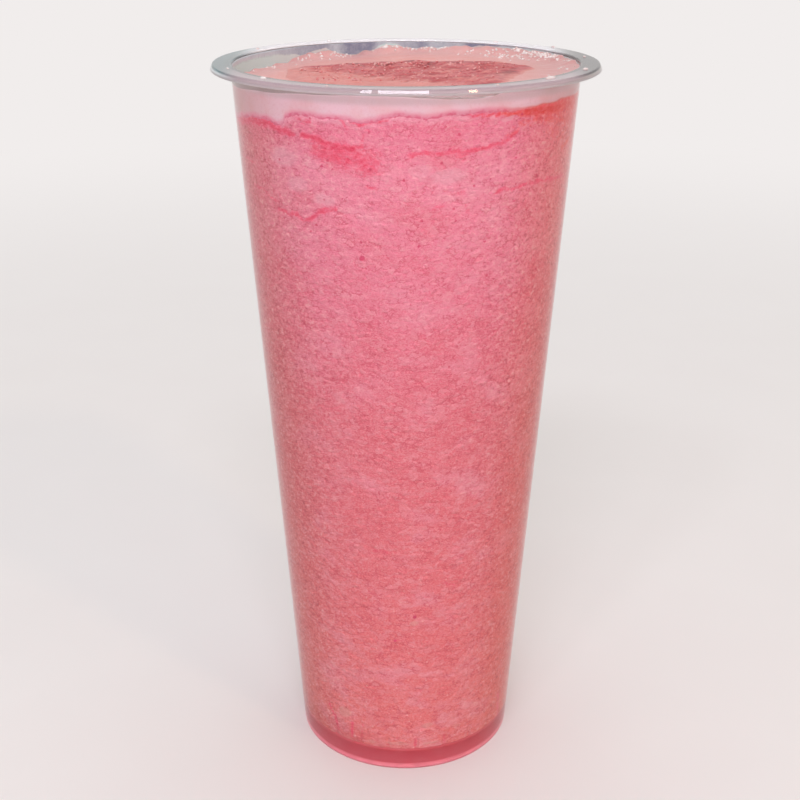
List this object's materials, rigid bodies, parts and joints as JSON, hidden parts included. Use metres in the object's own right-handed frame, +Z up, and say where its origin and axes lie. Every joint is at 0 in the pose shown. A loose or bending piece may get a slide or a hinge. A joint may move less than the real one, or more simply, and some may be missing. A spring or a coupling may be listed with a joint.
{
  "type": "slush drink in a cup",
  "caption": "Tall clear plastic cup with a flanged rim and raised floor, filled almost to the brim with pink blended slush under a pale froth collar.",
  "frame": {"origin": "centre of the foot ring, on the table", "axes": "+Z up along the cup's axis, -Y towards the front"},
  "size_m": [0.095, 0.095, 0.187],
  "materials": {
    "cup_plastic": "clear moulded polypropylene, glossy, faintly hazy",
    "slush": "pink blended ice, finely grained and wet",
    "froth": "pale pink froth, smooth with fine bubbles"
  },
  "bodies": {
    "root": {"cup": "cup_plastic", "slush": "slush", "froth": "froth"}
  },
  "joints": []
}
